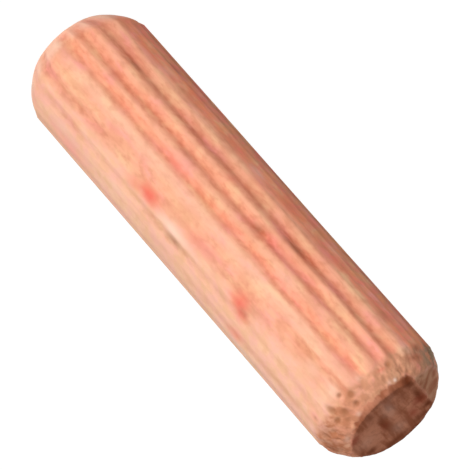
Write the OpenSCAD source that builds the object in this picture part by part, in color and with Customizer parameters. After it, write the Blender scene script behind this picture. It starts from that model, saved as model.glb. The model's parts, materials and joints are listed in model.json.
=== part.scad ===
// Fluted wooden dowel pin for cabinet joints.
// The pin stands on its lower end: +Z runs along its axis, and the origin is the centre of the lower face.

/* [Pin] */
// Diameter over the crests of the ridges
pin_d = 8; // [6:0.5:12]
// Overall length
pin_length = 30; // [20:1:60]

/* [Flutes] */
// Number of flutes around the pin
flute_count = 24; // [14:1:28]
// Depth of a flute, from the crests to its floor
flute_depth = 0.25; // [0.1:0.05:0.35]
// Width of a flute across its mouth
flute_mouth_w = 0.55; // [0.3:0.05:0.6]
// Width of the floor of a flute
flute_floor_w = 0.12; // [0.05:0.01:0.2]

/* [Ends] */
// Height of the lead-in taper at each end
taper_h = 1.7; // [1.2:0.05:2.4]
// How far the taper comes in from the crests
taper_w = 1.15; // [0.8:0.05:1.6]
// How far the flank of the taper swells out beyond a straight cone
swell = 0.15; // [0.02:0.01:0.2]
// Radius that eases the rim between the taper and the flat face
rim_r = 0.2; // [0.1:0.05:0.6]

/* [Hidden] */
$fn = 96;
beech = "#E5AA84";
crest_r = pin_d / 2;
root_r = crest_r - flute_depth;
pitch_angle = 360 / flute_count;
// Angle from the middle of a ridge to the edge of its land, and to the foot of its flank
land_angle = (pitch_angle - arc_angle(flute_mouth_w, crest_r)) / 2;
foot_angle = (pitch_angle - arc_angle(flute_floor_w, root_r)) / 2;
// How far the end profile runs on above the shoulder, and how far it stands clear of the crests
run_on = 0.1;
clear = 0.5;
// How far the round on a rim stands proud of the flank, so that the two arcs cross
proud = 0.002;

// Angle that a width takes up on a circle
function arc_angle(width, radius) = 2 * asin(width / 2 / radius);

// Point at an angle on a circle around the axis
function polar(radius, angle) = radius * [cos(angle), sin(angle)];

// Distance from the axis to the centre of the arc, centred on a ridge, that passes through two points
function ridge_centre(crest, foot) = (crest * crest - foot * foot) / (crest.x - foot.x) / 2;

// Radius of the arc that rises by swell above the chord between two points
function swell_radius(a, b, swell) = norm(b - a) ^ 2 / 8 / swell + swell / 2;

// Centre of the arc of a given radius through two points, on the left of the way from a to b
function arc_centre(a, b, radius) =
    let (way = (b - a) / norm(b - a),
         reach = sqrt(radius ^ 2 - norm(b - a) ^ 2 / 4))
    (a + b) / 2 + reach * [-way.y, way.x];

// Cross-section: wide ridges with round flanks and a land on each crest, and a narrow flute between each two.
// The middle of one flute lies on the X axis.
module fluted_section() {
    crest = polar(crest_r, land_angle);
    foot = polar(root_r, foot_angle);
    centre = [ridge_centre(crest, foot), 0];
    intersection() {
        circle(r = crest_r);
        union() {
            circle(r = root_r);
            for (i = [0:flute_count - 1])
                rotate((i + 0.5) * pitch_angle)
                    translate(centre)
                        circle(r = norm(crest - centre));
        }
    }
}

// Half profile of one end, with its flat face on the X axis. The flank of the taper swells from the rim
// to the shoulder, where it meets the crests, and a round eases the rim.
module end_profile() {
    rim = [crest_r - taper_w, 0];
    shoulder = [crest_r, taper_h];
    flank_r = swell_radius(rim, shoulder, swell);
    flank_centre = arc_centre(rim, shoulder, flank_r);
    // The round touches the face and, from inside, the flank
    round_x = flank_centre.x + sqrt((flank_r + proud - rim_r) ^ 2 - (flank_centre.y - rim_r) ^ 2);
    round_centre = [round_x, rim_r];
    outward = (round_centre - flank_centre) / norm(round_centre - flank_centre);
    intersection() {
        polygon([
            [0, 0],
            [round_x, 0],
            round_centre,
            round_centre + (rim_r + clear) * outward,
            [crest_r + clear, taper_h + run_on],
            [0, taper_h + run_on]
        ]);
        translate(flank_centre)
            circle(r = flank_r);
    }
    translate(round_centre)
        circle(r = rim_r);
}

// Half profile of both ends and of a shank that stands clear of the crests, so that only the ends are shaped
module pin_profile() {
    end_h = taper_h + run_on;
    end_profile();
    translate([0, end_h])
        square([crest_r + clear, pin_length - 2 * end_h]);
    translate([0, pin_length])
        mirror([0, 1])
            end_profile();
}

module dowel_pin() {
    color(beech)
        intersection() {
            linear_extrude(pin_length)
                fluted_section();
            rotate_extrude()
                pin_profile();
        }
}

dowel_pin();
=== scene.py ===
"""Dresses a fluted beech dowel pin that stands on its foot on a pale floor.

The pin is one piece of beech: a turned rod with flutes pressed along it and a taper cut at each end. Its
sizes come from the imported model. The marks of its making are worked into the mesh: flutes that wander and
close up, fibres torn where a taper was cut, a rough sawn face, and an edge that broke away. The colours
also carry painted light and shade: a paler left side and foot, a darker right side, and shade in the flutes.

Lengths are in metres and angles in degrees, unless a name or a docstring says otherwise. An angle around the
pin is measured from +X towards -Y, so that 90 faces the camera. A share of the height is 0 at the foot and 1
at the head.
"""

from __future__ import annotations

import itertools
import json
import logging
import math
from dataclasses import dataclass, field
from enum import Enum

import bpy
import numpy as np
from mathutils import Matrix, Vector

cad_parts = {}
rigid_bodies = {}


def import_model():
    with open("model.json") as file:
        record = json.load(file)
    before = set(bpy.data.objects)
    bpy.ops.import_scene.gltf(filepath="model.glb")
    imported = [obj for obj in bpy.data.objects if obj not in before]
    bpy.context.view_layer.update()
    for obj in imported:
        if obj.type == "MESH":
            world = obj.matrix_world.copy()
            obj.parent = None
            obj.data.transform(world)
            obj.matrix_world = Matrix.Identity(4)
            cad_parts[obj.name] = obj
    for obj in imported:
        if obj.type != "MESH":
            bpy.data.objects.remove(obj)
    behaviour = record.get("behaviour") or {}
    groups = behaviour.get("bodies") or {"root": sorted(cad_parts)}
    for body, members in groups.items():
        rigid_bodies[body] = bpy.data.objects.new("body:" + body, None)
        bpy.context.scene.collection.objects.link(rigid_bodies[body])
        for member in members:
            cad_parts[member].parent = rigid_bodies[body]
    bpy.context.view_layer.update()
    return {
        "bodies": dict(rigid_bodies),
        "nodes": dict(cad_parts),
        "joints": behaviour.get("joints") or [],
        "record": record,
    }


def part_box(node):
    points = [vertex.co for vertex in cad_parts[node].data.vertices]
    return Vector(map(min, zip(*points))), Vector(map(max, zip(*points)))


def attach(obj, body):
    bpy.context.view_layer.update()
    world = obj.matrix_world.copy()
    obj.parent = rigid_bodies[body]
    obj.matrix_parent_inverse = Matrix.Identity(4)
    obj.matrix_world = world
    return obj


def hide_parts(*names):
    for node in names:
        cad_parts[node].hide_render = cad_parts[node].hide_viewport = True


LOG = logging.getLogger("dowel_pin")
MM = 0.001
PIN_NODE = "dowel_pin"
PIN_BODY = "root"
LATTICE = 256

Array = np.ndarray
Random = np.random.Generator
Colour = tuple[float, float, float]
Socket = bpy.types.NodeSocket
Knots = tuple[tuple[float, float], ...]
Pair = tuple[float, float]
Remap = tuple[float, float, float, float]

WHITE: Colour = (1.0, 1.0, 1.0)
PINK_WOOD: Colour = (0.95, 0.39, 0.315)
FLECK_BROWN: Colour = (0.78, 0.32, 0.19)
SAWN_DEEP: Colour = (0.4, 0.13, 0.065)


class Mask(Enum):
    """The painted masks that the mesh carries for its finish."""

    # painted shade in the flutes, over their own darker, dirtier wood
    FLUTE_DIRT_AND_SHADE = "flute"
    TORN = "torn"
    BROKEN = "broken"
    PIT = "pit"
    # pale splinters, with painted highlights on them
    SPLINTER_AND_HIGHLIGHT = "splinter_and_highlight"
    SAWN = "sawn"
    # dark marks, and painted shade along the right edge of the shank
    SCORCH_AND_SHADE = "scorch_and_shade"
    STAIN = "stain"
    # pale wood, and painted light on the foot's taper
    PALE_WOOD_AND_LIGHT = "pale"
    PINK = "pink"


def smooth_step(low: float, high: float, value: Array) -> Array:
    """Rises smoothly from 0 at low to 1 at high, or falls where high lies below low."""
    share = np.clip((value - low) / (high - low), 0.0, 1.0)
    return share * share * (3.0 - 2.0 * share)


def angle_gap(angle: Array, other: Array | float) -> Array:
    """How far an angle lies past another one, from -180 to 180 degrees."""
    return (angle - other + 180.0) % 360.0 - 180.0


def steady(strength: float) -> Knots:
    """The same strength all along the pin."""
    return ((0.0, strength), (1.0, strength))


@dataclass(frozen=True)
class PinSize:
    """Sizes of the pin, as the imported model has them."""

    crest_radius: float
    length: float
    taper_height: float
    taper_width: float = 1.15 * MM
    swell: float = 0.15 * MM
    rim_radius: float = 0.2 * MM
    flute_count: int = 24

    @staticmethod
    def from_frame(frame: dict) -> PinSize:
        """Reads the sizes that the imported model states.


        Returns:
            The pin's sizes.
        """
        low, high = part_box(PIN_NODE)
        length = high.z - low.z
        wall = next(m["dims"] for m in frame["record"]["mounts"] if m["kind"] == "pin")
        return PinSize(
            crest_radius=wall["r_mm"] * MM,
            length=length,
            taper_height=(length - wall["length_mm"] * MM) / 2.0,
        )


@dataclass(frozen=True)
class EndProfile:
    """Half profile of one end: a flat face, a rounded rim and a swelling taper up to the shoulder."""

    size: PinSize
    arc_step: float
    face_rings: int

    def _flank(self) -> tuple[Array, float]:
        """Arc that the taper follows.

        Returns:
            The centre of the arc, and its radius.
        """
        rim = np.array([self.size.crest_radius - self.size.taper_width, 0.0])
        shoulder = np.array([self.size.crest_radius, self.size.taper_height])
        way = shoulder - rim
        chord = float(np.hypot(*way))
        radius = chord**2 / 8.0 / self.size.swell + self.size.swell / 2.0
        reach = math.sqrt(radius**2 - chord**2 / 4.0)
        centre = (rim + shoulder) / 2.0 + reach * np.array([-way[1], way[0]]) / chord
        return centre, radius

    def _arc(self, centre: Array, radius: float, start: float, stop: float) -> Array:
        """Points along an arc between two angles in radians, no further apart than the arc step."""
        turn = np.linspace(start, stop, max(2, math.ceil(abs(stop - start) * radius / self.arc_step) + 1))
        return centre + radius * np.stack([np.cos(turn), np.sin(turn)], axis=1)

    def points(self) -> Array:
        """Points from the first ring of the face out to the shoulder.

        Returns:
            One row each: distance from the axis, and height above the face.
        """
        centre, radius = self._flank()
        rim = self.size.rim_radius
        across = math.sqrt((radius - rim) ** 2 - (centre[1] - rim) ** 2)
        rim_centre = np.array([centre[0] + across, rim])
        lean = math.atan2(*(rim_centre - centre)[::-1])
        shoulder = np.array([self.size.crest_radius, self.size.taper_height])
        top = math.atan2(*(shoulder - centre)[::-1])
        rounded = self._arc(rim_centre, rim, -math.pi / 2.0, lean)
        flank = self._arc(centre, radius, lean, top)
        face = np.zeros((self.face_rings, 2))
        face[:, 0] = np.linspace(0.0, rounded[0, 0], self.face_rings + 2)[1:-1]
        return np.concatenate([face, rounded[:-1], flank])


@dataclass(frozen=True)
class WoodNoise:
    """Smooth seeded noise, stretched along the fibres.

    Its largest features are so many millimetres across and along the fibres. Each further layer has half the
    size and half the strength of the one before.
    """

    seed: int
    across: float
    along: float
    layers: int

    def _corner(self, order: Array, values: Array, cell: Array) -> Array:
        """Picks one of the values for each lattice corner, by an order that mixes the three directions."""
        mixed = order[(order[cell[:, 0] % LATTICE] + cell[:, 1]) % LATTICE]
        return values[order[(mixed + cell[:, 2]) % LATTICE]]

    def sample(self, points: Array) -> Array:
        """Samples the noise at points.

        Args:
            points: Points in metres, in any shape that ends in 3.

        Returns:
            Noise from about -1 to 1, in the shape of the points.
        """
        source = np.random.default_rng(self.seed)
        total = np.zeros(points.shape[:-1])
        flat = points.reshape(-1, 3)
        feature = np.array([self.across, self.across, self.along]) * MM
        for layer in range(self.layers):
            order = source.permutation(LATTICE)
            values = source.uniform(-1.0, 1.0, LATTICE)
            scaled = flat / (feature / 2.0**layer)
            cell = np.floor(scaled).astype(np.int64)
            weight = smooth_step(0.0, 1.0, scaled - cell)
            level = np.zeros(len(flat))
            for corner in itertools.product((0, 1), repeat=3):
                side = np.where(np.array(corner) == 1, weight, 1.0 - weight)
                level += side.prod(axis=1) * self._corner(order, values, cell + np.array(corner))
            total += level.reshape(total.shape) / 2.0**layer
        return total


@dataclass(frozen=True)
class Flute:
    """One pressed flute: where it runs, how wide it is, and how deep and how dark it is along the pin.

    The press and the shade are pairs of a share of the height and a strength. The shade is painted shade in
    the groove, over its own darker, dirtier wood. It may lie aside of the middle of the flute, on one of its
    walls.
    The flute flares out near the foot.
    """

    angle: float
    turn: float = 0.0
    width: float = 13.0
    press: Knots = steady(1.0)
    shade: Knots = steady(0.4)
    shade_aside: float = 0.0
    foot_flare: float = 0.35
    flare_ends: Pair = (0.16, 0.03)

    def section(self, angle: Array, share: Array, stray: Array) -> Array:
        """Shape of the flute across its width.

        Args:
            angle: Angles around the pin.
            share: Shares of the height.
            stray: How far the flute strays sideways, in degrees.

        Returns:
            1 in the middle of the flute, and 0 outside it.
        """
        middle = self.angle + self.turn * (share - 0.5) + stray
        width = self.width * (1.0 + self.foot_flare * smooth_step(*self.flare_ends, share))
        across = np.abs(angle_gap(angle, middle)) / (width / 2.0)
        return 1.0 - smooth_step(0.0, 1.0, across)

    @staticmethod
    def strength(knots: Knots, share: Array) -> Array:
        """Strength at shares of the height, with straight runs between the knots."""
        heights, strengths = zip(*knots)
        return np.interp(share, heights, strengths)


@dataclass(frozen=True)
class Mark:
    """A blemish with a soft and ragged edge. Its lengths are in millimetres."""

    place: Pair
    across: float
    along: float
    strength: float = 1.0
    fade: float = 2.0
    raggedness: float = 0.6

    def offsets(self, surface: Surface) -> tuple[Array, Array]:
        """How far each point lies beside the middle of the mark and along it, in metres."""
        raise NotImplementedError

    def cover(self, surface: Surface, ragged: Array) -> Array:
        """How much the mark covers each point.

        Args:
            surface: The pin's surface.
            ragged: Noise that makes the mark's edge uneven.

        Returns:
            The strength in the middle of the mark, and 0 well outside it.
        """
        beside, ahead = self.offsets(surface)
        away = (beside / (self.across * MM)) ** 2 + (ahead / (self.along * MM)) ** 2
        return self.strength * np.exp(-self.fade * away * (1.0 + self.raggedness * ragged))


@dataclass(frozen=True)
class Spot(Mark):
    """A mark on the side of the pin or on a taper, placed by its angle and its run from the shoulder."""

    def offsets(self, surface: Surface) -> tuple[Array, Array]:
        """How far each point lies around the pin and along its profile from the middle of the mark."""
        angle, run = self.place
        around = np.radians(angle_gap(surface.angle, angle)) * surface.crest_radius
        return around, surface.run - run * MM


@dataclass(frozen=True)
class Blotch(Mark):
    """A mark on the sawn face of the head, placed so far towards +X and so far towards -Y."""

    def offsets(self, surface: Surface) -> tuple[Array, Array]:
        """How far each point lies towards +X and towards -Y from the middle of the mark."""
        beside, front = surface.plan()
        return beside - self.place[0] * MM, front - self.place[1] * MM


@dataclass(frozen=True)
class BrokenEdge:
    """A part of the head's edge that broke away in a plane when the saw came through.

    The plane starts at the reach from the axis and falls by the slope. What it lays bare is broken wood: the
    part of the face that went with it, and the part of the taper that it cuts.
    """

    angle: float = 180.0
    reach: float = 2.1 * MM
    slope: float = 0.47
    ragged: float = 0.08 * MM
    roughness: WoodNoise = WoodNoise(51, 0.9, 0.9, 4)
    soft_edge: float = 0.05 * MM
    face_fade: Pair = (0.25 * MM, 0.1 * MM)
    cut_fade: Pair = (-0.08 * MM, 0.2 * MM)

    def drop(self, surface: Surface, points: Array) -> Array:
        """How far the break lies below the sawn face, which is 0 where nothing broke away."""
        out = surface.radius * np.cos(np.radians(angle_gap(surface.angle, self.angle))) - self.reach
        return np.maximum(out + self.ragged * self.roughness.sample(points), 0.0) * self.slope

    def cover(self, height: Array, face: float, drop: Array) -> tuple[Array, Array]:
        """How much of the surface broke away.

        Args:
            height: Heights of the surface before the break.
            face: Height of the sawn face.
            drop: How far the break lies below that face.

        Returns:
            How much of the sawn face is gone, and how much of the surface is broken wood.
        """
        gone = smooth_step(0.0, self.soft_edge, drop)
        was_face = smooth_step(*self.face_fade, face - height)
        cut = smooth_step(*self.cut_fade, height - (face - drop))
        return gone, gone * np.maximum(was_face, cut)


@dataclass(frozen=True)
class TornGrain:
    """Where the head's taper is torn, and where its sawn face begins.

    Both are runs along the profile from the shoulder. The tearing starts later on the ridges and sooner
    towards +X and -X, and the face begins later towards +X.
    """

    start: float = -0.1 * MM
    full: float = 0.45 * MM
    ridge_delay: float = 0.28 * MM
    side_lead: float = 0.45 * MM
    stray: float = 0.2 * MM
    face_start: float = 1.56 * MM
    face_blend: float = 0.2 * MM
    face_delay: float = 0.33 * MM
    face_stray: float = 0.14 * MM
    face_fray: float = 0.08 * MM

    def taper(self, surface: Surface, depth: Array, coarse: Array) -> Array:
        """How much of the surface lies past the start of the tearing.

        Args:
            surface: The turned rod.
            depth: Depth of the flutes.
            coarse: Coarse noise, by which the start strays.

        Returns:
            The share, which stays full on the sawn face.
        """
        ridge = 1.0 - np.clip(depth, 0.0, 1.0)
        side = np.cos(np.radians(surface.angle))
        reach = surface.run - self.ridge_delay * ridge + self.stray * coarse + self.side_lead * side**2
        return smooth_step(self.start, self.full, reach)

    def face(self, surface: Surface, coarse: Array, fine: Array) -> Array:
        """How much of the surface is the sawn face.

        Args:
            surface: The turned rod.
            coarse: Coarse noise, by which the edge of the face strays.
            fine: Fine noise, by which it frays.

        Returns:
            The share.
        """
        edge = surface.run + self.face_fray * fine + self.face_stray * coarse
        edge = edge - self.face_delay * np.maximum(np.cos(np.radians(surface.angle)), 0.0)
        return smooth_step(self.face_start, self.face_start + self.face_blend, edge)


@dataclass(frozen=True)
class Surface:
    """The pin's surface as a grid, with a row for each ring and a column for each step around."""

    angle: Array
    radius: Array
    height: Array
    run: Array
    crest_radius: float

    def moved(self, radius: Array, height: Array) -> Surface:
        """The same grid with its points at other radii and heights."""
        return Surface(self.angle, radius, height, self.run, self.crest_radius)

    def plan(self) -> tuple[Array, Array]:
        """How far the points lie from the axis towards +X and towards -Y."""
        turn = np.radians(self.angle)
        return self.radius * np.cos(turn), self.radius * np.sin(turn)

    def points(self) -> Array:
        """Points of the grid in the pin's frame."""
        beside, front = self.plan()
        return np.stack([beside, -front, self.height], axis=-1)

    def outward(self) -> tuple[Array, Array]:
        """Outward direction of the profile at each ring.

        Returns:
            Its part away from the axis and its part along the axis.
        """
        rise = np.gradient(self.height, axis=0)
        spread = np.gradient(self.radius, axis=0)
        length = np.hypot(rise, spread)
        return rise / length, -spread / length


@dataclass(frozen=True)
class Flutes:
    """All flutes around the pin: those in view one by one, and evenly placed ones round the back."""

    size: PinSize
    in_view: tuple[Flute, ...]
    seed: int = 5
    stray: float = 1.2
    wobble: float = 0.7
    shade_share: float = 0.88
    shade_sharpness: float = 0.8
    shade_change: float = 0.25
    wander: WoodNoise = WoodNoise(31, 1.0, 3.0, 3)
    unevenness: WoodNoise = WoodNoise(32, 1.0, 1.6, 2)
    first_hidden: float = 195.0
    last_hidden: float = 330.0
    hidden_width: float = 12.0
    width_change: float = 1.0
    hidden_knots: int = 9

    def _uneven(self, source: Random, mean: float, spread: float, low: float, high: float) -> Knots:
        """Random strengths along a flute, held between low and high."""
        shares = np.linspace(0.0, 1.0, self.hidden_knots)
        return tuple(zip(shares, np.clip(source.normal(mean, spread, len(shares)), low, high)))

    def _hidden(self) -> list[Flute]:
        """Flutes round the back, which stray a little from their even places.

        Returns:
            The flutes.
        """
        source = np.random.default_rng(self.seed)
        pitch = 360.0 / self.size.flute_count
        made = []
        for middle in np.arange(self.first_hidden, self.last_hidden + pitch / 2.0, pitch):
            stray, turn = source.normal(0.0, self.stray, 2)
            width = self.hidden_width + source.uniform(-self.width_change, self.width_change)
            press = self._uneven(source, mean=0.85, spread=0.15, low=0.4, high=1.0)
            shade = self._uneven(source, mean=0.4, spread=0.12, low=0.15, high=0.8)
            made.append(Flute(middle + stray, turn, width, press, shade))
        return made

    def depth_and_shade(self, surface: Surface) -> tuple[Array, Array]:
        """How deep the flutes are, and how dark their painted shade is.

        Args:
            surface: The grid to press them into.

        Returns:
            The depth as a share of the full depth, and the painted shade, both 0 on the ridges.
        """
        share = surface.height / self.size.length
        depth = np.zeros(surface.angle.shape)
        shade = np.zeros(surface.angle.shape)
        column = np.zeros((len(surface.height), 3))
        column[:, 2] = surface.height[:, 0]
        for number, flute in enumerate((*self.in_view, *self._hidden())):
            column[:, 0] = number * MM
            stray = self.wobble * self.wander.sample(column)[:, None]
            uneven = 1.0 + self.shade_change * self.unevenness.sample(column)[:, None]
            section = flute.section(surface.angle, share, stray)
            depth = np.maximum(depth, section * flute.strength(flute.press, share))
            aside = flute.section(surface.angle, share, stray + flute.shade_aside)
            dark = self.shade_share * flute.strength(flute.shade, share) * uneven
            shade = np.maximum(shade, aside**self.shade_sharpness * dark)
        return depth, shade


@dataclass
class FlutedPin:
    """The pin: its profile, its flutes and the marks of its making."""

    size: PinSize
    flutes: Flutes
    side_marks: dict[Mask, tuple[Spot, ...]]
    face_marks: dict[Mask, tuple[Blotch, ...]]
    broken_edge: BrokenEdge = BrokenEdge()
    torn_grain: TornGrain = TornGrain()
    coarse: WoodNoise = WoodNoise(3, 0.5, 0.6, 3)
    fine: WoodNoise = WoodNoise(8, 0.25, 0.4, 2)
    fibre: WoodNoise = WoodNoise(21, 0.4, 9.0, 2)
    mark_edge: WoodNoise = WoodNoise(47, 0.45, 0.7, 2)
    flute_depth: float = 0.2 * MM
    around: int = 480
    shank_step: float = 0.35 * MM
    head_step: float = 0.048 * MM
    foot_step: float = 0.09 * MM
    head_rings: int = 22
    foot_rings: int = 5
    foot_run_out: float = 0.32
    head_run_out: float = 0.9 * MM
    pit_depth: float = 0.1 * MM
    torn_share: float = 0.55
    torn_darkness: float = 0.38
    torn_levels: Pair = (-0.1, 1.2)
    torn_fineness: float = 0.4
    face_depth: float = 0.035 * MM
    face_levels: Pair = (-0.8, 1.0)
    foot_face_depth: float = 0.02 * MM
    fuzz: float = 0.02 * MM
    fibre_fuzz: float = 0.01 * MM
    # painted light: the foot's taper is made paler, as if light reached it, less so in the flutes
    foot_painted_light: float = 0.8
    foot_light_share: float = 0.4
    # the sawn face darkens along its rim at the back
    dark_back_rim: float = 0.55
    dark_rim_band: Pair = (0.78, 1.0)
    dark_rim_back: Pair = (0.2, -0.6)
    masks: dict[Mask, Array] = field(default_factory=dict)

    def _turned(self) -> Surface:
        """Turns the rod with its tapers.

        Returns:
            The surface before anything is pressed or torn.
        """
        foot = EndProfile(self.size, self.foot_step, self.foot_rings).points()
        head = EndProfile(self.size, self.head_step, self.head_rings).points()[::-1]
        low, high = self.size.taper_height, self.size.length - self.size.taper_height
        shank = np.linspace(low, high, math.ceil((high - low) / self.shank_step) + 1)[1:-1]
        crest = np.full(len(shank), self.size.crest_radius)
        radius = np.concatenate([foot[:, 0], crest, head[:, 0]])
        height = np.concatenate([foot[:, 1], shank, self.size.length - head[:, 1]])
        steps = np.hypot(np.diff(radius), np.diff(height))
        run = np.concatenate([[0.0], np.cumsum(steps)])
        run -= run[len(foot) + len(shank)]
        angle = np.linspace(0.0, 360.0, self.around, endpoint=False)
        shape = (len(radius), self.around)
        rows = (np.broadcast_to(row[:, None], shape) for row in (radius, height, run))
        return Surface(np.broadcast_to(angle, shape), *rows, self.size.crest_radius)

    def _pressed(self, turned: Surface, depth: Array, shade: Array) -> Surface:
        """Presses the flutes into the rod. They run out on the tapers.

        Args:
            turned: The turned rod.
            depth: Depth of the flutes, as a share of the full depth.
            shade: How dark the painted shade in the flutes is.

        Returns:
            The fluted surface.
        """
        on_foot = smooth_step(0.0, self.foot_run_out, turned.height / self.size.taper_height)
        on_head = smooth_step(self.head_run_out, 0.0, turned.run)
        reach = on_foot * on_head
        away, _ = turned.outward()
        radius = turned.radius - depth * reach * self.flute_depth * away
        # painted shade in the flutes, which runs out with them
        self.masks[Mask.FLUTE_DIRT_AND_SHADE] = np.clip(shade * reach, 0.0, 1.0)
        return turned.moved(radius, turned.height)

    def _torn(self, turned: Surface, pressed: Surface, depth: Array) -> Surface:
        """Tears fibres out of the head's taper, roughens its sawn face and breaks its edge.

        Args:
            turned: The turned rod, which gives the directions.
            pressed: The fluted surface.
            depth: Depth of the flutes. The tearing starts sooner in them than on the ridges.

        Returns:
            The finished surface.
        """
        points = turned.points()
        coarse, fine = self.coarse.sample(points), self.fine.sample(points)
        drop = self.broken_edge.drop(pressed, points)
        gone, broken = self.broken_edge.cover(pressed.height, self.size.length, drop)
        on_face = self.torn_grain.face(turned, coarse, fine) * (1.0 - gone)
        foot_face = smooth_step(self.foot_face_depth, 0.0, turned.height)
        rough = self.torn_grain.taper(turned, depth, coarse) * (1.0 - on_face) * (1.0 - broken)
        pits = self._painted(self.side_marks[Mask.PIT], pressed)
        ragged = rough * smooth_step(*self.torn_levels, coarse + self.torn_fineness * fine)
        dent = self.pit_depth * np.maximum(pits, self.torn_share * ragged) + self.fuzz * rough * fine
        dent += self.fibre_fuzz * self.fibre.sample(points)
        dent += self.face_depth * on_face * smooth_step(*self.face_levels, coarse)
        self.masks[Mask.TORN] = rough
        self.masks[Mask.BROKEN] = broken
        self.masks[Mask.PIT] = np.maximum(pits, self.torn_darkness * ragged)
        self.masks[Mask.SAWN] = np.clip(on_face + foot_face, 0.0, 1.0)
        away, up = turned.outward()
        height = np.minimum(pressed.height - dent * up, self.size.length - drop)
        return pressed.moved(pressed.radius - dent * away, np.maximum(height, 0.0))

    def _painted(self, marks: tuple[Mark, ...], surface: Surface) -> Array:
        """Cover of several marks together.

        Args:
            marks: The marks to paint.
            surface: The surface to paint them on.

        Returns:
            The strongest cover at each point.
        """
        ragged = self.mark_edge.sample(surface.points())
        cover = np.zeros(surface.angle.shape)
        for mark in marks:
            cover = np.maximum(cover, mark.cover(surface, ragged))
        return cover

    def _blemished(self, surface: Surface) -> None:
        """Paints the stains, the pale and pink wood, the splinters, painted light on the foot, and the darker
        back rim of the sawn face.

        Args:
            surface: The finished surface.
        """
        for mask in (Mask.STAIN, Mask.PALE_WOOD_AND_LIGHT, Mask.PINK, Mask.SPLINTER_AND_HIGHLIGHT, Mask.SCORCH_AND_SHADE):
            self.masks[mask] = self._painted(self.side_marks[mask], surface)
        # painted light: the foot's taper is made paler, kept out of the flutes
        taper = self.size.taper_height
        foot = smooth_step(taper, self.foot_light_share * taper, surface.height)
        ridges = (1.0 - self.masks[Mask.FLUTE_DIRT_AND_SHADE]) ** 2
        self.masks[Mask.PALE_WOOD_AND_LIGHT] = np.maximum(self.masks[Mask.PALE_WOOD_AND_LIGHT], self.foot_painted_light * foot * ridges)
        on_face = self.masks[Mask.SAWN] * (surface.run > 0.0)
        # the sawn face darkens along its rim at the back
        away = surface.radius / (self.size.crest_radius - self.size.taper_width)
        front = np.sin(np.radians(surface.angle))
        dark_rim = smooth_step(*self.dark_rim_band, away) * smooth_step(*self.dark_rim_back, front)
        self.masks[Mask.SCORCH_AND_SHADE] = np.maximum(self.masks[Mask.SCORCH_AND_SHADE], self.dark_back_rim * dark_rim * on_face)
        for mask, marks in self.face_marks.items():
            cover = self._painted(marks, surface) * on_face
            self.masks[mask] = np.maximum(cover, self.masks[mask])

    def _faces(self, rings: int) -> list[tuple[int, ...]]:
        """Faces between the rings, and a fan over each end.

        Args:
            rings: Number of rings.

        Returns:
            Vertex numbers of each face. The two middle points come after the rings.
        """
        faces: list[tuple[int, ...]] = []
        foot, head = rings * self.around, rings * self.around + 1
        last = (rings - 1) * self.around
        for step in range(self.around):
            after = (step + 1) % self.around
            faces.append((foot, step, after))
            faces.append((head, last + after, last + step))
            for ring in range(0, last, self.around):
                above = ring + self.around
                faces.append((ring + step, above + step, above + after, ring + after))
        return faces

    def build(self, finish: bpy.types.Material) -> bpy.types.Object:
        """Builds the pin as one closed mesh.

        Args:
            finish: The material that it is dressed in.

        Returns:
            The piece, riding on the pin's body in place of the plain one.
        """
        turned = self._turned()
        depth, shade = self.flutes.depth_and_shade(turned)
        pressed = self._pressed(turned, depth, shade)
        surface = self._torn(turned, pressed, depth)
        self._blemished(surface)
        rings = len(surface.radius)
        middles = np.array([[0.0, 0.0, surface.height[end].mean()] for end in (0, -1)])
        points = np.concatenate([surface.points().reshape(-1, 3), middles])
        mesh = bpy.data.meshes.new("fluted_pin")
        mesh.from_pydata(points.tolist(), [], self._faces(rings))
        mesh.shade_smooth()
        for mask, cover in self.masks.items():
            ends = [cover[0].mean(), cover[-1].mean()]
            layer = mesh.attributes.new(mask.value, "FLOAT", "POINT")
            layer.data.foreach_set("value", np.concatenate([cover.ravel(), ends]).astype(np.float32))
        mesh.materials.append(finish)
        pin = bpy.data.objects.new("fluted_pin", mesh)
        bpy.context.scene.collection.objects.link(pin)
        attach(pin, PIN_BODY)
        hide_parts(PIN_NODE)
        return pin


@dataclass(frozen=True)
class Pattern:
    """A noise pattern of the finish. The size of its features along each axis is in millimetres."""

    size: tuple[float, float, float]
    shift: float
    detail: float = 3.0


@dataclass(frozen=True)
class Tint:
    """A colour that is laid on, up to a strength, where a pattern passes from one level to another."""

    colour: Colour
    start: float
    end: float
    strength: float = 1.0


@dataclass(frozen=True)
class Side:
    """A side of the pin. It starts and is in full so many radii from the axis towards its angle."""

    angle: float
    start: float
    full: float


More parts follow.
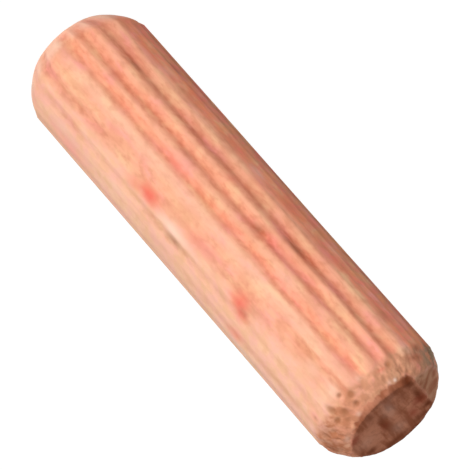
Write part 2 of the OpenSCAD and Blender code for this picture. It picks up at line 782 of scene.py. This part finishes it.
@dataclass
class NodeBench:
    """Adds nodes to a material or to the surroundings, from none, and joins them."""

    owner: bpy.types.Material | bpy.types.World

    def __post_init__(self) -> None:
        """Takes away the nodes that are there."""
        self.owner.use_nodes = True
        self.owner.node_tree.nodes.clear()

    def add(self, kind: str, feeds: dict | None = None, **settings: object) -> bpy.types.Node:
        """Adds a node.

        Args:
            kind: Blender's name for the kind of node.
            feeds: What its inputs take, by their names or numbers: an output, or a fixed value.
            **settings: Properties to set on it.

        Returns:
            The node.
        """
        node = self.owner.node_tree.nodes.new(kind)
        for name, value in settings.items():
            setattr(node, name, value)
        for name, source in (feeds or {}).items():
            if isinstance(source, Socket):
                self.owner.node_tree.links.new(source, node.inputs[name])
            else:
                node.inputs[name].default_value = source
        return node

    def mask(self, mask: Mask) -> Socket:
        """The painted mask of the mesh, as a number."""
        return self.add("ShaderNodeAttribute", attribute_name=mask.value).outputs["Fac"]

    def rescale(
        self, value: Socket, low: float, high: float, to_low: float = 0.0, to_high: float = 1.0
    ) -> Socket:
        """Maps the range from low to high to another one, smoothly and with its ends held."""
        feeds = dict(enumerate((value, low, high, to_low, to_high)))
        return self.add("ShaderNodeMapRange", feeds, interpolation_type="SMOOTHSTEP").outputs["Result"]

    def times(self, one: Socket, other: Socket | float) -> Socket:
        """Product of two numbers, of which the second may be a fixed one."""
        return self.add("ShaderNodeMath", {0: one, 1: other}, operation="MULTIPLY").outputs["Value"]

    def blend(self, share: Socket, under: Socket | Colour, over: Socket | Colour, way: str = "MIX") -> Socket:
        """Lays one colour over another.

        Args:
            share: How much of the upper colour shows.
            under: The lower colour.
            over: The upper colour.
            way: Blender's name for the way in which they mix.

        Returns:
            The mixed colour.
        """
        under, over = (layer if isinstance(layer, Socket) else (*layer, 1.0) for layer in (under, over))
        feeds = {0: share, 6: under, 7: over}
        return self.add("ShaderNodeMix", feeds, data_type="RGBA", blend_type=way).outputs[2]


@dataclass(frozen=True)
class BeechFinish:
    """Raw beech: pink-tan wood with long grain, flutes with painted shade, torn fibres, and a dark sawn face.

    Left and right are as the camera sees the pin: left is towards 0 degrees, and right towards 180. The left
    side is painted lighter as painted light, and the right side darker as painted shade. A strength or a
    roughness gives the range of a pattern and what it is mapped to.
    """

    size: PinSize
    streaks: Pattern = Pattern((0.2, 0.2, 6.0), 3.0)
    pores: Pattern = Pattern((0.3, 0.3, 0.6), 9.0)
    patches: Pattern = Pattern((0.8, 0.8, 2.2), 20.0, 4.0)
    clouds: Pattern = Pattern((1.0, 1.0, 1.7), 26.0)
    mottle: Pattern = Pattern((0.5, 1.6, 0.8), 55.0, 2.5)
    tufts: Pattern = Pattern((0.5, 0.5, 0.55), 27.0)
    flakes: Pattern = Pattern((0.8, 0.7, 0.8), 8.0)
    saw_marks: Pattern = Pattern((0.5, 2.4, 2.4), 33.0)
    # painted light: the left side is made paler; painted shade: the right side is made deeper, darker at its
    # edge
    lit_side: Side = Side(30.0, 0.78, 0.97)
    shaded_side: Side = Side(180.0, 0.72, 0.81)
    shaded_edge: Side = Side(180.0, 0.88, 0.97)
    mottled_side: Side = Side(180.0, 0.73, 0.85)
    flute_side: Side = Side(0.0, -0.15, 0.4)
    torn_side: Side = Side(0.0, -0.3, 0.95)
    # painted shade: the torn taper turns darker and more olive towards the right edge
    torn_shade_side: Side = Side(180.0, 0.65, 0.97)
    warm_wood: Colour = (0.95, 0.455, 0.29)
    # painted shade: the deeper colour of the right side, and the darker one of its edge
    painted_shade_wood: Colour = (0.99, 0.335, 0.2)
    painted_edge_shade: Colour = (0.76, 0.33, 0.21)
    pink_patch: Tint = Tint(PINK_WOOD, 0.5, 0.68, 0.9)
    yellow_patch: Tint = Tint((0.95, 0.56, 0.32), 0.5, 0.32, 0.75)
    cloud: Tint = Tint(FLECK_BROWN, 0.45, 0.63, 0.46)
    streak: Tint = Tint(FLECK_BROWN, 0.45, 0.75, 0.3)
    pore: Tint = Tint(FLECK_BROWN, 0.44, 0.74, 0.65)
    # painted light: the paler colour laid on the left side
    painted_light_wood: Colour = (0.98, 0.6, 0.43)
    painted_light_share: float = 0.55
    # the paler mottle of the painted-light side
    lit_mottle: tuple[Tint, Tint] = (
        Tint((0.96, 0.5, 0.41), 0.5, 0.64, 0.5),
        Tint((0.88, 0.5, 0.28), 0.5, 0.36, 0.5),
    )
    # the deeper mottle of the painted-shade side
    shaded_mottle: tuple[Tint, Tint] = (
        Tint((0.98, 0.28, 0.22), 0.5, 0.64, 0.5),
        Tint((0.94, 0.37, 0.17), 0.5, 0.36, 0.5),
    )
    # pale wood, and the painted light of the foot
    pale_wood_and_light: Colour = (0.98, 0.68, 0.53)
    # painted shade in the flutes: its strength, browner on the left and redder on the right
    flute_strength: Remap = (0.3, 0.65, 0.65, 1.15)
    flute_shade_left: Colour = (0.68, 0.5, 0.45)
    flute_shade_right: Colour = (0.88, 0.39, 0.3)
    torn_strength: Remap = (0.36, 0.62, 0.35, 1.0)
    torn_left: Colour = (0.58, 0.215, 0.11)
    torn_right: Colour = (0.68, 0.31, 0.18)
    # painted shade: the torn taper turns darker and more olive towards the right edge
    torn_edge_shade: Colour = (0.39, 0.275, 0.18)
    broken_wood: Colour = (0.66, 0.34, 0.21)
    broken_flake: Tint = Tint((0.47, 0.18, 0.1), 0.35, 0.65)
    stain_red: Colour = (0.85, 0.15, 0.1)
    pit: Tint = Tint((0.36, 0.135, 0.06), 0.05, 0.9, 0.75)
    sawn_wood: Colour = (0.67, 0.27, 0.16)
    saw_groove: Tint = Tint(SAWN_DEEP, 0.36, 0.64)
    sawn_pore: Tint = Tint(SAWN_DEEP, 0.45, 0.75, 0.4)
    sawn_red: Colour = (0.38, 0.06, 0.03)
    sawn_redness: float = 0.8
    # pale splinters, with painted highlights on them
    splinter_and_highlight: Colour = (0.97, 0.72, 0.6)
    # dark marks, and painted shade along the right edge of the shank
    scorch_and_shade: Colour = (0.2, 0.05, 0.02)
    roughness: Remap = (0.25, 0.75, 0.6, 0.78)
    sheen: float = 0.04
    relief: float = 0.03 * MM
    pore_relief: float = 0.5
    streak_relief: float = 0.4

    def build(self) -> bpy.types.Material:
        """Builds the material.

        Returns:
            The finished material.
        """
        material = bpy.data.materials.new("beech_finish")
        bench = BeechBench(material, self)
        feeds = {
            "Base Color": bench.colour(),
            "Roughness": bench.roughness(),
            "Normal": bench.relief(),
            "Specular IOR Level": bench.sheen(),
        }
        shader = bench.add("ShaderNodeBsdfPrincipled", feeds)
        bench.add("ShaderNodeOutputMaterial", {"Surface": shader.outputs["BSDF"]})
        return material


@dataclass
class BeechBench(NodeBench):
    """Lays the colours and the relief of a beech finish, one over the other."""

    finish: BeechFinish

    def __post_init__(self) -> None:
        """Sets up the patterns that several layers share."""
        super().__post_init__()
        self.place = self.add("ShaderNodeTexCoord").outputs["Object"]
        self.streaks = self._noise(self.finish.streaks)
        self.pores = self._noise(self.finish.pores)

    def _noise(self, pattern: Pattern) -> Socket:
        """Noise over the surface.

        Args:
            pattern: The size of its features, and how far they are moved, in features.

        Returns:
            The noise, from 0 to 1.
        """
        scale = [1.0 / (size * MM) for size in pattern.size]
        feeds = {"Vector": self.place, "Scale": scale, "Location": (pattern.shift,) * 3}
        moved = self.add("ShaderNodeMapping", feeds).outputs["Vector"]
        feeds = {"Vector": moved, "Scale": 1.0, "Detail": pattern.detail}
        return self.add("ShaderNodeTexNoise", feeds).outputs["Fac"]

    def _towards(self, side: Side) -> Socket:
        """A share that rises towards one side of the pin.

        Args:
            side: Which side, and where the rise starts and ends.

        Returns:
            The share.
        """
        turn = math.radians(side.angle)
        feeds = {0: self.place, 1: (math.cos(turn), -math.sin(turn), 0.0)}
        reach = self.add("ShaderNodeVectorMath", feeds, operation="DOT_PRODUCT").outputs["Value"]
        radius = self.finish.size.crest_radius
        return self.rescale(reach, side.start * radius, side.full * radius)

    def _tinted(self, under: Socket | Colour, pattern: Socket, tint: Tint) -> Socket:
        """Lays a tint over a colour where the pattern places it."""
        cover = self.rescale(pattern, tint.start, tint.end, 0.0, tint.strength)
        return self.blend(cover, under, tint.colour)

    def _mottled(self, wood: Socket, share: Socket, mottle: Socket, tints: tuple[Tint, Tint]) -> Socket:
        """Mottles a side of the pin.

        Args:
            wood: Colour of the wood.
            share: How much of the mottle shows.
            mottle: The pattern.
            tints: The tints of its high and its low parts.

        Returns:
            The mottled colour.
        """
        for tint in tints:
            cover = self.rescale(mottle, tint.start, tint.end, 0.0, tint.strength)
            wood = self.blend(self.times(cover, share), wood, tint.colour)
        return wood

    def _masked(self, under: Socket, mask: Mask, colour: Socket | Colour) -> Socket:
        """Lays a colour on where a mask is painted."""
        return self.blend(self.mask(mask), under, colour)

    def _clean(self) -> Socket:
        """Colour of clean wood: painted light on the left, painted shade on the right, and mottled on both.

        Returns:
            The colour.
        """
        finish = self.finish
        # painted shade: the right side is made deeper, and darker towards its edge
        wood = self.blend(self._towards(finish.shaded_side), finish.warm_wood, finish.painted_shade_wood)
        wood = self.blend(self._towards(finish.shaded_edge), wood, finish.painted_edge_shade)
        patches = self._noise(finish.patches)
        wood = self._tinted(wood, patches, finish.pink_patch)
        wood = self._tinted(wood, patches, finish.yellow_patch)
        wood = self._tinted(wood, self._noise(finish.clouds), finish.cloud)
        wood = self._tinted(wood, self.streaks, finish.streak)
        wood = self._tinted(wood, self.pores, finish.pore)
        # painted light: the left side is made paler, and below it gets a paler mottle
        lit = self._towards(finish.lit_side)
        wood = self.blend(self.times(lit, finish.painted_light_share), wood, finish.painted_light_wood)
        mottle = self._noise(finish.mottle)
        wood = self._mottled(wood, lit, mottle, finish.lit_mottle)
        # painted shade: the right side gets a deeper mottle
        return self._mottled(wood, self._towards(finish.mottled_side), mottle, finish.shaded_mottle)

    def _sawn(self) -> Socket:
        """Colour of a sawn face.

        Returns:
            The colour.
        """
        finish = self.finish
        sawn = self._tinted(finish.sawn_wood, self._noise(finish.saw_marks), finish.saw_groove)
        sawn = self._tinted(sawn, self.pores, finish.sawn_pore)
        red = self.times(self.mask(Mask.STAIN), finish.sawn_redness)
        return self.blend(red, sawn, finish.sawn_red)

    def colour(self) -> Socket:
        """Colour of the whole surface.

        Returns:
            The colour.
        """
        finish = self.finish
        wood = self._masked(self._clean(), Mask.PALE_WOOD_AND_LIGHT, finish.pale_wood_and_light)
        wood = self._masked(wood, Mask.PINK, PINK_WOOD)
        # painted shade in the flutes, over their own darker, dirtier wood: browner on the left, redder on the
        # right
        flute = self.times(self.mask(Mask.FLUTE_DIRT_AND_SHADE), self.rescale(self.pores, *finish.flute_strength))
        shade = self.blend(self._towards(finish.flute_side), finish.flute_shade_right, finish.flute_shade_left)
        wood = self.blend(flute, wood, shade, "MULTIPLY")
        torn = self.blend(self._towards(finish.torn_side), finish.torn_right, finish.torn_left)
        # painted shade: the torn taper turns darker and more olive towards the right edge
        torn = self.blend(self._towards(finish.torn_shade_side), torn, finish.torn_edge_shade)
        tufts = self.rescale(self._noise(finish.tufts), *finish.torn_strength)
        wood = self.blend(self.times(self.mask(Mask.TORN), tufts), wood, torn)
        flakes = self._noise(finish.flakes)
        broken = self._tinted(finish.broken_wood, flakes, finish.broken_flake)
        wood = self._masked(wood, Mask.BROKEN, broken)
        wood = self._masked(wood, Mask.STAIN, finish.stain_red)
        wood = self._tinted(wood, self.mask(Mask.PIT), finish.pit)
        wood = self._masked(wood, Mask.SAWN, self._sawn())
        # pale splinters, with painted highlights on them
        wood = self._masked(wood, Mask.SPLINTER_AND_HIGHLIGHT, finish.splinter_and_highlight)
        # dark marks, and painted shade along the right edge of the shank
        return self._masked(wood, Mask.SCORCH_AND_SHADE, finish.scorch_and_shade)

    def roughness(self) -> Socket:
        """Roughness, which varies with the streaks."""
        return self.rescale(self.streaks, *self.finish.roughness)

    def sheen(self) -> Socket:
        """Sheen of the wood, which its sawn and broken parts lack."""
        sheen = self.rescale(self.mask(Mask.SAWN), 0.0, 1.0, self.finish.sheen, 0.0)
        return self.times(sheen, self.rescale(self.mask(Mask.BROKEN), 0.0, 1.0, 1.0, 0.0))

    def _bump(self, pattern: Socket, strength: float, **below: Socket) -> Socket:
        """Relief that a pattern gives, on top of what lies below."""
        feeds = {"Height": pattern, "Strength": strength, "Distance": self.finish.relief, **below}
        return self.add("ShaderNodeBump", feeds).outputs["Normal"]

    def relief(self) -> Socket:
        """Fine relief of the pores, with that of the streaks over it."""
        pores = self._bump(self.pores, self.finish.pore_relief)
        return self._bump(self.streaks, self.finish.streak_relief, Normal=pores)


@dataclass(frozen=True)
class SoftLamp:
    """A large soft lamp, turned towards the middle of the pin and hidden from the camera."""

    name: str
    angle: float
    elevation: float
    power: float
    distance: float = 0.6
    size: Pair = (0.4, 0.2)

    def build(self, middle: Vector) -> bpy.types.Object:
        """Hangs the lamp.

        Args:
            middle: Middle of the pin.

        Returns:
            The lamp.
        """
        lamp = bpy.data.lights.new(self.name, "AREA")
        lamp.shape = "RECTANGLE"
        lamp.size, lamp.size_y = self.size
        lamp.energy = self.power
        holder = bpy.data.objects.new(self.name, lamp)
        turn, rise = math.radians(self.angle), math.radians(self.elevation)
        out = Vector((math.cos(turn) * math.cos(rise), -math.sin(turn) * math.cos(rise), math.sin(rise)))
        holder.location = middle + out * self.distance
        holder.rotation_mode = "QUATERNION"
        holder.rotation_quaternion = (-out).to_track_quat("-Z", "Y")
        holder.visible_camera = False
        bpy.context.scene.collection.objects.link(holder)
        return holder


@dataclass(frozen=True)
class Studio:
    """A pale floor, an even light all round, a large lamp low at the camera's left and a weak one behind."""

    middle: Vector
    floor_half: float = 1.5
    floor_colour: Colour = (0.8, 0.8, 0.8)
    floor_seen_colour: Colour = (0.2, 0.2, 0.2)
    floor_glow: float = 0.94
    ambient: float = 0.46
    overhead: float = 0.27
    lamps: tuple[SoftLamp, ...] = (
        SoftLamp("key_lamp", angle=73.0, elevation=1.0, power=4.45),
        SoftLamp("back_lamp", angle=262.0, elevation=10.0, power=1.8),
    )

    def _seen(self, bench: NodeBench) -> Socket:
        """Tells what is seen from what only lights the pin.

        Args:
            bench: Where the nodes go.

        Returns:
            1 where the camera looks, straight or by reflection or refraction, and 0 for other light.
        """
        path = bench.add("ShaderNodeLightPath").outputs
        seen = path["Is Camera Ray"]
        for name in ("Is Glossy Ray", "Is Transmission Ray"):
            seen = bench.add("ShaderNodeMath", {0: seen, 1: path[name]}, operation="MAXIMUM").outputs["Value"]
        return seen

    def _floor(self) -> bpy.types.Object:
        """Lays a pale floor that looks white and keeps a faint shadow.

        Returns:
            The floor.
        """
        half = self.floor_half
        mesh = bpy.data.meshes.new("floor")
        corners = [(-half, -half, 0.0), (half, -half, 0.0), (half, half, 0.0), (-half, half, 0.0)]
        mesh.from_pydata(corners, [], [(0, 1, 2, 3)])
        material = bpy.data.materials.new("pale_floor")
        bench = NodeBench(material)
        seen = self._seen(bench)
        colour = bench.blend(seen, self.floor_colour, self.floor_seen_colour)
        matt = bench.add("ShaderNodeBsdfDiffuse", {"Color": colour})
        glow = bench.add("ShaderNodeEmission", {"Strength": bench.times(seen, self.floor_glow)})
        both = bench.add("ShaderNodeAddShader", {0: matt.outputs["BSDF"], 1: glow.outputs["Emission"]})
        bench.add("ShaderNodeOutputMaterial", {"Surface": both.outputs["Shader"]})
        mesh.materials.append(material)
        floor = bpy.data.objects.new("floor", mesh)
        bpy.context.scene.collection.objects.link(floor)
        return floor

    def _surroundings(self) -> None:
        """Light from all around, brighter near the floor than overhead, and seen as plain white."""
        world = bpy.data.worlds.new("surroundings")
        bench = NodeBench(world)
        direction = bench.add("ShaderNodeTexCoord").outputs["Generated"]
        height = bench.add("ShaderNodeSeparateXYZ", {"Vector": direction}).outputs["Z"]
        level = bench.rescale(height, 0.0, 1.0, self.ambient, self.overhead)
        light = bench.add("ShaderNodeBackground", {"Color": (*WHITE, 1.0), "Strength": level})
        plain = bench.add("ShaderNodeBackground", {"Color": (*WHITE, 1.0)})
        feeds = {0: self._seen(bench), 1: light.outputs["Background"], 2: plain.outputs["Background"]}
        mixed = bench.add("ShaderNodeMixShader", feeds)
        bench.add("ShaderNodeOutputWorld", {"Surface": mixed.outputs["Shader"]})
        bpy.context.scene.world = world

    def build(self) -> None:
        """Sets up the floor, the surroundings and the lamps."""
        self._floor()
        self._surroundings()
        for lamp in self.lamps:
            lamp.build(self.middle)
        bpy.context.scene.view_settings.view_transform = "Standard"


@dataclass(frozen=True)
class StudioCamera:
    """A long lens above the pin, rolled so that the head points down to the right."""

    middle: Vector
    elevation: float = 26.7
    roll: float = 138.8
    distance: float = 294.0 * MM
    lens_mm: float = 407.4
    sensor_mm: float = 36.0
    frame_px: int = 470
    middle_px: Pair = (231.31, 231.78)
    clip_shares: Pair = (0.1, 100.0)

    def build(self) -> bpy.types.Object:
        """Places the camera and makes it the scene's own.

        Returns:
            The camera.
        """
        rise, roll = math.radians(self.elevation), math.radians(self.roll)
        back = Vector((0.0, -math.cos(rise), math.sin(rise)))
        level = Vector((1.0, 0.0, 0.0))
        upright = Vector((0.0, math.sin(rise), math.cos(rise)))
        right = level * math.cos(roll) + upright * math.sin(roll)
        up = upright * math.cos(roll) - level * math.sin(roll)
        px = self.distance * self.sensor_mm / self.lens_mm / self.frame_px
        aside = (self.frame_px / 2.0 - self.middle_px[0]) * px
        down = (self.frame_px / 2.0 - self.middle_px[1]) * px
        aim = self.middle + right * aside - up * down
        data = bpy.data.cameras.new("camera")
        data.lens = self.lens_mm
        data.sensor_width = self.sensor_mm
        data.clip_start, data.clip_end = (self.distance * share for share in self.clip_shares)
        camera = bpy.data.objects.new("camera", data)
        place = self.middle + back * self.distance
        towards = (place - aim).normalized()
        across = up.cross(towards).normalized()
        rotation = Matrix((across, towards.cross(across), towards)).transposed()
        camera.matrix_world = Matrix.Translation(place) @ rotation.to_4x4()
        bpy.context.scene.collection.objects.link(camera)
        bpy.context.scene.camera = camera
        return camera


FLUTES_IN_VIEW = (
    Flute(342.0),
    Flute(357.0),
    Flute(12.0, press=steady(0.3), shade=steady(0.05)),
    Flute(28.8, width=12.0, press=steady(0.12), shade_aside=0.3,
          shade=((0.0, 0.05), (0.5, 0.05), (0.6, 0.25), (0.9, 0.3), (1.0, 0.2))),
    Flute(46.4, width=12.0, press=((0.0, 0.25), (0.5, 0.35), (1.0, 0.2)), shade_aside=-0.8,
          shade=((0.0, 0.2), (0.08, 0.25), (0.14, 0.5), (0.18, 0.4), (0.24, 0.2), (0.37, 0.2), (0.42, 0.5),
                 (0.48, 0.55), (0.53, 0.35), (0.6, 0.25), (0.78, 0.2), (0.85, 0.35), (1.0, 0.3))),
    Flute(63.2, turn=1.0, width=12.0, press=((0.0, 0.7), (0.2, 0.7), (0.32, 0.3), (1.0, 0.2)),
          shade_aside=-0.5,
          shade=((0.0, 0.5), (0.2, 0.5), (0.27, 0.3), (0.33, 0.1), (0.52, 0.1), (0.58, 0.35), (0.63, 0.3),
                 (0.7, 0.15), (1.0, 0.15))),
    Flute(74.0, width=10.0, press=((0.0, 0.1), (0.7, 0.1), (0.82, 0.7), (1.0, 0.6)),
          shade=((0.0, 0.05), (0.76, 0.05), (0.82, 0.6), (0.93, 0.7), (1.0, 0.5))),
    Flute(92.0, turn=0.5, width=14.0, press=steady(0.95), shade_aside=0.2,
          shade=((0.0, 0.4), (0.45, 0.5), (0.56, 0.4), (0.75, 0.5), (1.0, 0.45))),
    Flute(108.8, turn=6.0, width=16.0, press=steady(0.9), shade_aside=-1.0,
          shade=((0.0, 0.4), (0.12, 0.4), (0.2, 0.5), (0.34, 0.45), (0.5, 0.35), (0.57, 0.45), (0.61, 0.7),
                 (0.65, 0.4), (1.0, 0.4))),
    Flute(126.4, width=19.0, press=steady(0.9), shade_aside=-2.2,
          shade=((0.0, 0.3), (0.1, 0.3), (0.15, 0.5), (0.21, 0.4), (0.37, 0.45), (0.41, 0.4), (0.48, 0.55),
                 (0.55, 0.35), (0.62, 0.5), (0.7, 0.7), (0.76, 0.45), (1.0, 0.4))),
    Flute(147.0, turn=1.0, width=18.0, press=steady(0.15), shade=steady(0.1)),
    Flute(158.0, width=14.0, press=steady(0.25), shade=steady(0.1)),
    Flute(170.0, width=11.0),
    Flute(183.0, width=12.0),
)
SIDE_MARKS: dict[Mask, tuple[Spot, ...]] = {
    Mask.PIT: (
        Spot((54.0, 0.35), 0.38, 0.56, 0.8), Spot((68.5, 0.18), 0.3, 0.25, 0.9),
        Spot((76.0, 0.6), 0.42, 0.5), Spot((48.5, 0.9), 0.44, 0.32),
        Spot((60.0, 0.98), 0.48, 0.44, 0.9), Spot((73.0, 1.2), 0.44, 0.38, 0.95),
        Spot((35.0, 0.95), 0.47, 0.39, 0.6), Spot((36.5, -0.3), 0.24, 0.39, 0.5),
        Spot((25.0, 0.6), 0.34, 0.52, 0.8), Spot((55.0, 1.35), 0.41, 0.33, 0.55),
        Spot((116.0, 0.6), 0.3, 0.34, 0.85), Spot((86.0, 0.75), 0.3, 0.26, 0.45),
        Spot((97.0, 1.6), 0.41, 0.33, 0.5), Spot((152.0, 0.25), 0.41, 0.33, 0.6),
        Spot((147.0, 0.8), 0.68, 0.26, 0.6), Spot((150.0, 1.9), 0.54, 0.26, 0.6),
        Spot((20.0, 1.0), 0.8, 0.8, 0.4), Spot((32.0, 0.75), 0.8, 0.5, 0.45),
        Spot((95.0, 1.3), 0.9, 0.4, 0.3),
    ),
    # pale splinters, with painted highlights on them
    Mask.SPLINTER_AND_HIGHLIGHT: (
        Spot((115.0, 1.54), 0.18, 0.14), Spot((109.0, 1.5), 0.25, 0.2, 0.3),
        Spot((66.0, 1.65), 0.3, 0.2, 0.3), Spot((31.0, 1.75), 0.6, 0.25, 0.3),
    ),
    Mask.SCORCH_AND_SHADE: (
        Spot((173.0, 1.2), 0.3, 0.6, 0.5), Spot((8.0, 0.9), 0.7, 0.8, 0.5),
        Spot((47.2, -13.65), 0.3, 1.0, 0.4), Spot((53.5, -7.5), 0.35, 0.6, 0.3),
        Spot((60.0, -7.1), 0.5, 0.7, 0.2), Spot((109.0, -10.5), 0.4, 0.7, 0.5),
        Spot((120.8, -8.2), 0.3, 1.0, 0.5), Spot((122.0, -23.4), 0.3, 0.8, 0.4),
        # the long strip at 170 degrees is painted shade along the right edge
        Spot((170.0, -14.0), 0.5, 40.0, 0.25), Spot((156.0, -22.4), 0.4, 1.0, 0.35),
        Spot((156.0, -17.9), 0.4, 1.0, 0.15), Spot((115.0, -3.7), 0.35, 0.8, 0.15),
        Spot((105.8, -16.7), 0.35, 0.9, 0.2), Spot((106.8, -12.4), 0.35, 0.9, 0.15),
        Spot((48.0, -9.5), 0.4, 1.0, 0.12), Spot((58.5, -24.5), 0.4, 1.0, 0.12),
        Spot((155.0, -9.0), 0.4, 1.2, 0.1), Spot((144.0, -2.3), 0.4, 0.8, 0.25),
    ),
    Mask.STAIN: (
        Spot((58.8, -16.6), 0.6, 1.1, 0.9), Spot((56.0, -17.6), 0.4, 1.2, 0.4),
        Spot((56.4, -8.0), 0.85, 1.1, 0.85), Spot((51.5, -7.6), 0.6, 0.9, 0.75),
        Spot((28.0, -7.4), 0.6, 0.8, 0.45), Spot((65.0, -12.6), 0.7, 0.9, 0.2),
        Spot((118.2, -14.0), 0.5, 0.9, 0.4), Spot((72.5, -11.0), 0.6, 0.9, 0.15),
        Spot((126.0, -19.9), 0.5, 1.0, 0.2), Spot((49.5, -23.4), 0.5, 1.0, 0.15),
        Spot((135.5, -13.0), 0.5, 1.2, 0.3), Spot((76.0, -26.3), 0.5, 1.0, 0.12),
        Spot((36.5, -0.4), 0.5, 0.5, 0.3), Spot((127.0, -0.4), 0.5, 0.5, 0.3),
        Spot((144.0, -24.0), 0.8, 1.4, 0.2), Spot((150.0, -20.4), 0.8, 1.4, 0.35),
        Spot((151.0, -16.0), 0.7, 1.4, 0.35), Spot((147.0, -11.0), 0.8, 1.6, 0.3),
        Spot((141.0, -7.1), 0.8, 1.6, 0.3), Spot((152.0, 0.25), 0.6, 0.45, 0.3),
        Spot((147.0, 0.8), 0.8, 0.4, 0.3), Spot((145.0, 1.3), 0.4, 0.4, 0.2),
        Spot((108.0, 0.65), 0.45, 0.15, 0.35),
    ),
    Mask.PALE_WOOD_AND_LIGHT: (
        Spot((54.0, -14.1), 0.4, 1.8, 0.8), Spot((137.0, 0.35), 0.6, 0.5, 0.4),
        Spot((90.0, 0.35), 0.3, 0.4, 0.5), Spot((67.0, -0.3), 0.8, 0.9, 0.45),
        Spot((67.0, -2.0), 0.6, 0.9, 0.3), Spot((95.2, -6.9), 0.5, 1.2, 0.3),
        Spot((34.2, -23.7), 0.5, 1.2, 0.3), Spot((37.2, -18.9), 0.5, 1.2, 0.3),
        Spot((15.0, -14.0), 1.2, 40.0, 0.2), Spot((16.0, -7.0), 0.6, 2.0, 0.8),
        Spot((82.0, -13.0), 0.55, 40.0, 0.2), Spot((147.0, -22.2), 0.4, 0.8, 0.3),
        Spot((145.0, -13.8), 0.5, 1.0, 0.3), Spot((152.0, -7.5), 0.4, 0.8, 0.3),
    ),
    Mask.PINK: (
        Spot((66.0, -11.4), 0.5, 1.0, 0.6), Spot((22.0, -23.0), 0.8, 2.0, 0.7),
        Spot((95.0, -16.5), 0.7, 1.5, 0.6),
    ),
}
FACE_MARKS: dict[Mask, tuple[Blotch, ...]] = {
    Mask.SCORCH_AND_SHADE: (
        Blotch((-1.8, 2.3), 0.5, 0.9), Blotch((-1.8, 0.5), 0.3, 1.4, 0.9),
        Blotch((0.65, 0.4), 0.25, 1.5, 0.6), Blotch((1.0, 2.2), 0.45, 0.9, 0.7),
        Blotch((-0.9, 2.5), 0.5, 0.6, 0.6), Blotch((0.4, 2.7), 1.3, 0.35, 0.45),
        Blotch((-1.1, 1.6), 0.5, 0.9, 0.4), Blotch((2.1, -1.3), 0.6, 0.6, 0.85),
        Blotch((-1.9, -1.4), 0.5, 0.6, 0.95), Blotch((0.8, -2.3), 1.2, 0.45, 0.8),
        Blotch((-1.1, -2.1), 0.8, 0.5, 0.7),
    ),
    Mask.STAIN: (
        Blotch((-1.75, -0.2), 0.45, 1.0), Blotch((0.65, 0.1), 0.3, 0.6, 0.6),
        Blotch((2.4, 1.2), 0.4, 0.5, 0.8), Blotch((-1.0, -1.1), 0.4, 0.7, 0.8),
    ),
    Mask.SPLINTER_AND_HIGHLIGHT: (
        Blotch((-0.1, 1.4), 0.5, 1.2, 0.2), Blotch((0.2, -1.2), 0.6, 1.1, 0.14),
        Blotch((2.0, 0.0), 0.7, 1.0, 0.1),
    ),
}


def main() -> None:
    """Builds the pin, the studio and the camera."""
    logging.basicConfig(level=logging.INFO, format="%(name)s: %(message)s")
    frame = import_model()
    size = PinSize.from_frame(frame)
    middle = Vector((0.0, 0.0, size.length / 2.0))
    finish = BeechFinish(size).build()
    flutes = Flutes(size, FLUTES_IN_VIEW)
    pin = FlutedPin(size, flutes, SIDE_MARKS, FACE_MARKS).build(finish)
    LOG.info("%s: %d faces, rides on %s", pin.name, len(pin.data.polygons), PIN_BODY)
    Studio(middle).build()
    camera = StudioCamera(middle).build()
    LOG.info("%s: %.0f mm lens", camera.name, camera.data.lens)


if __name__ == "__main__":
    main()
